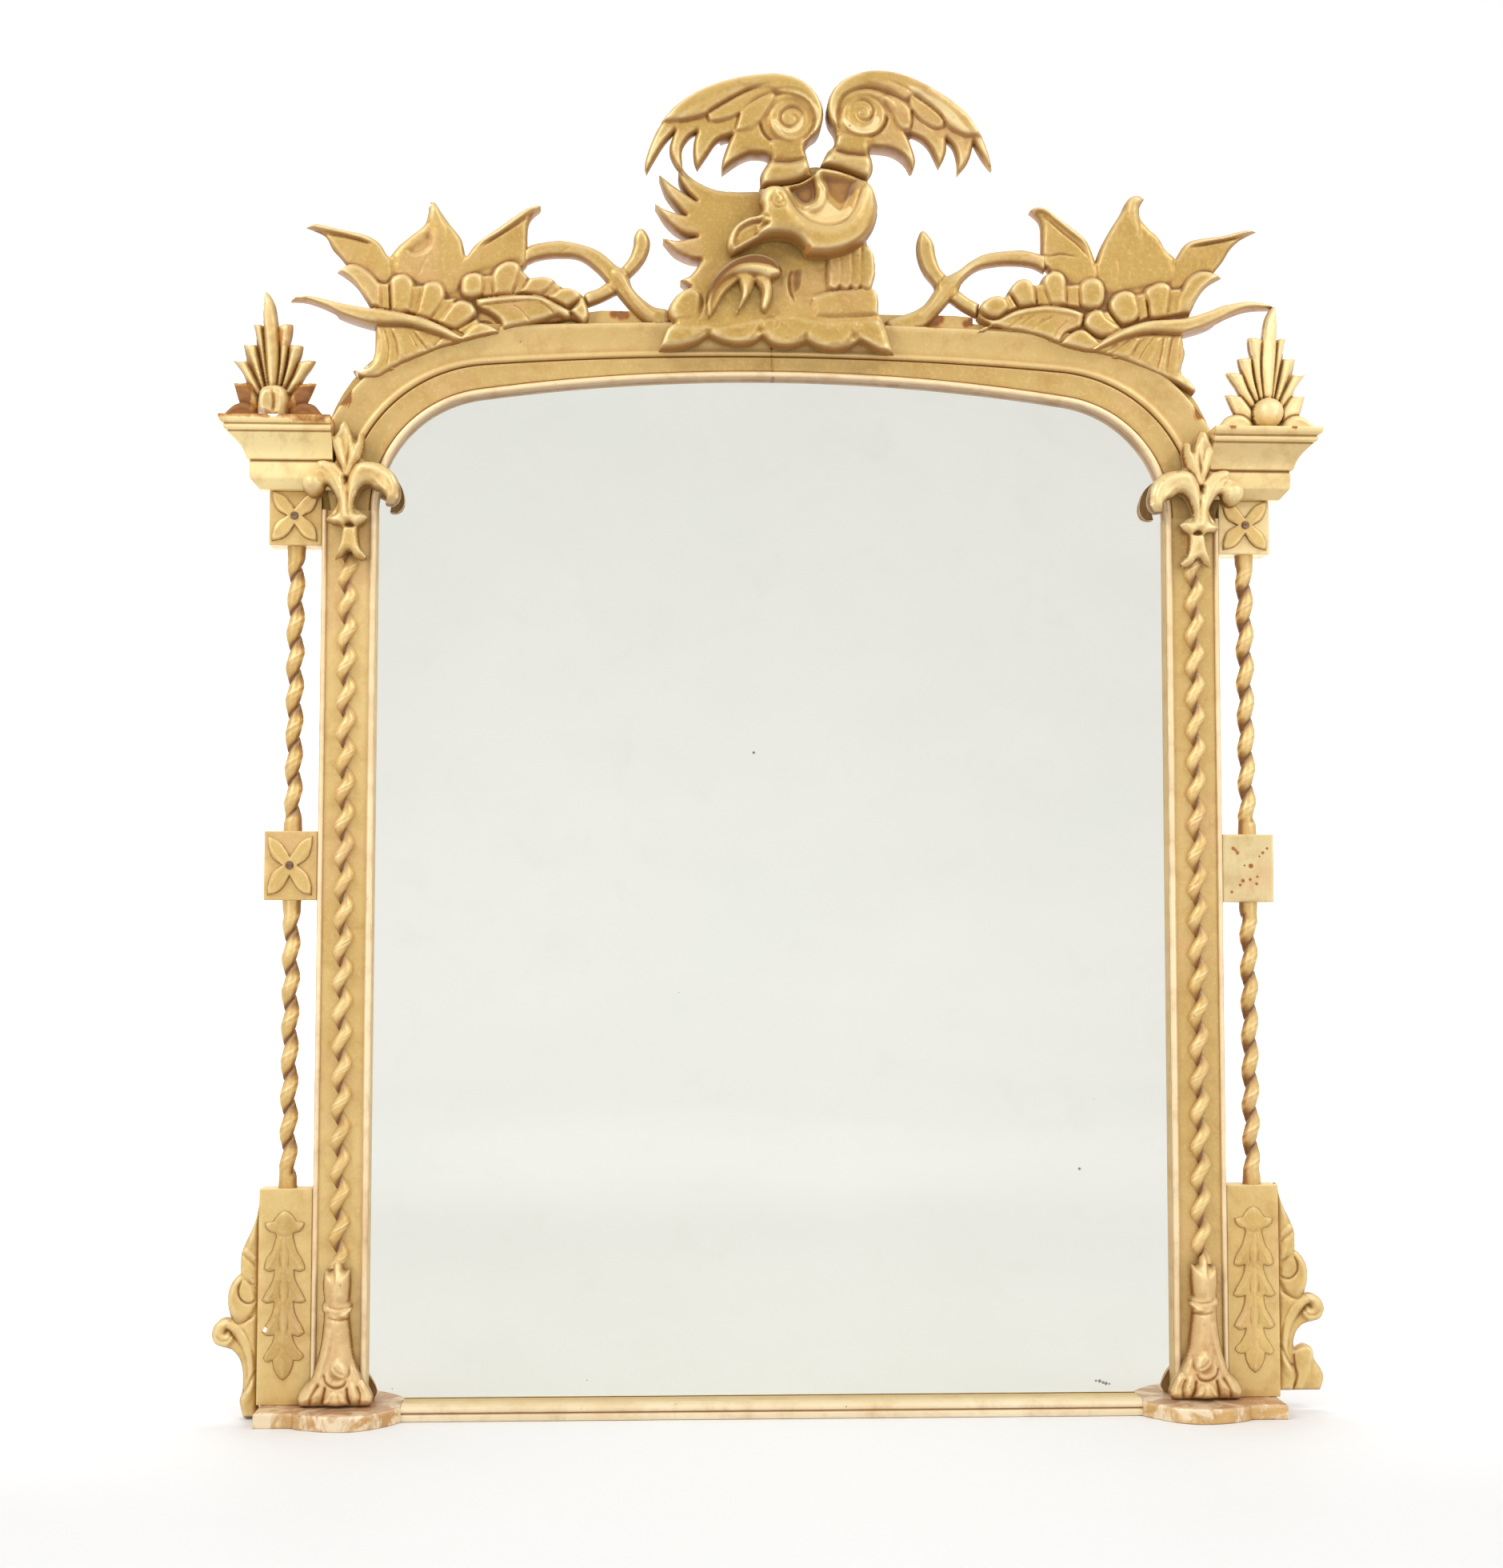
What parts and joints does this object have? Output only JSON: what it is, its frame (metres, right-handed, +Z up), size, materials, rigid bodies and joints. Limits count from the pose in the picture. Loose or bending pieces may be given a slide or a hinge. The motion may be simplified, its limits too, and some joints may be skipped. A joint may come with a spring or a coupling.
{
  "type": "overmantel mirror",
  "caption": "Arched giltwood overmantel mirror with twisted columns, moulded cornices, leaf sprays and an eagle crest, standing on a bowed base shelf.",
  "frame": {"origin": "middle of the base, at the mantelshelf and beside the wall plane; +X runs to the viewer's right, +Y goes into the wall and +Z is up", "axes": "+Z up along the height, +Y from the carved front towards the wall, +X to the viewer's right"},
  "size_m": [1.484, 0.12, 1.8088],
  "materials": {
    "gilt": "carved pine and gesso under worn pale gold, satin",
    "mirror": "silvered plate glass, slightly foxed",
    "pine": "bare darkened pine, sawn and planed",
    "brass": "dull rolled brass",
    "steel": "darkened steel screw"
  },
  "bodies": {
    "root": {"left_stile": "gilt", "right_stile": "gilt", "bottom_rail": "gilt", "left_arch_head": "gilt", "right_arch_head": "gilt", "arch_cove_moulding": "gilt", "arch_fascia": "gilt", "arch_sight_bead": "gilt", "left_sight_bead": "gilt", "right_sight_bead": "gilt", "left_outer_bead": "gilt", "right_outer_bead": "gilt", "mirror_glass": "mirror", "glazing_blocks": "pine", "left_backboard": "pine", "centre_backboard": "pine", "right_backboard": "pine", "back_battens": "pine", "backboard_screws": "steel", "left_twist": "gilt", "right_twist": "gilt", "left_capital": "gilt", "right_capital": "gilt", "left_twist_foot": "gilt", "right_twist_foot": "gilt", "left_upper_block": "gilt", "right_upper_block": "gilt", "left_middle_block": "gilt", "right_middle_block": "gilt", "left_plinth": "gilt", "right_plinth": "gilt", "left_upper_rod": "gilt", "right_upper_rod": "gilt", "left_lower_rod": "gilt", "right_lower_rod": "gilt", "rosettes": "gilt", "rosette_screws": "steel", "left_husk_drop": "gilt", "right_husk_drop": "gilt", "left_cornice": "gilt", "right_cornice": "gilt", "left_finial": "gilt", "right_finial": "gilt", "left_bracket": "gilt", "right_bracket": "gilt", "left_shelf": "gilt", "right_shelf": "gilt", "base_moulding": "gilt", "eagle_body": "gilt", "eagle_head": "gilt", "eagle_left_wing": "gilt", "eagle_right_wing": "gilt", "eagle_claw": "gilt", "left_spray": "gilt", "right_spray": "gilt", "left_tendrils": "gilt", "right_tendrils": "gilt", "crest_cleats": "pine", "hanger_plates": "brass", "hanger_screws": "steel"}
  },
  "joints": []
}
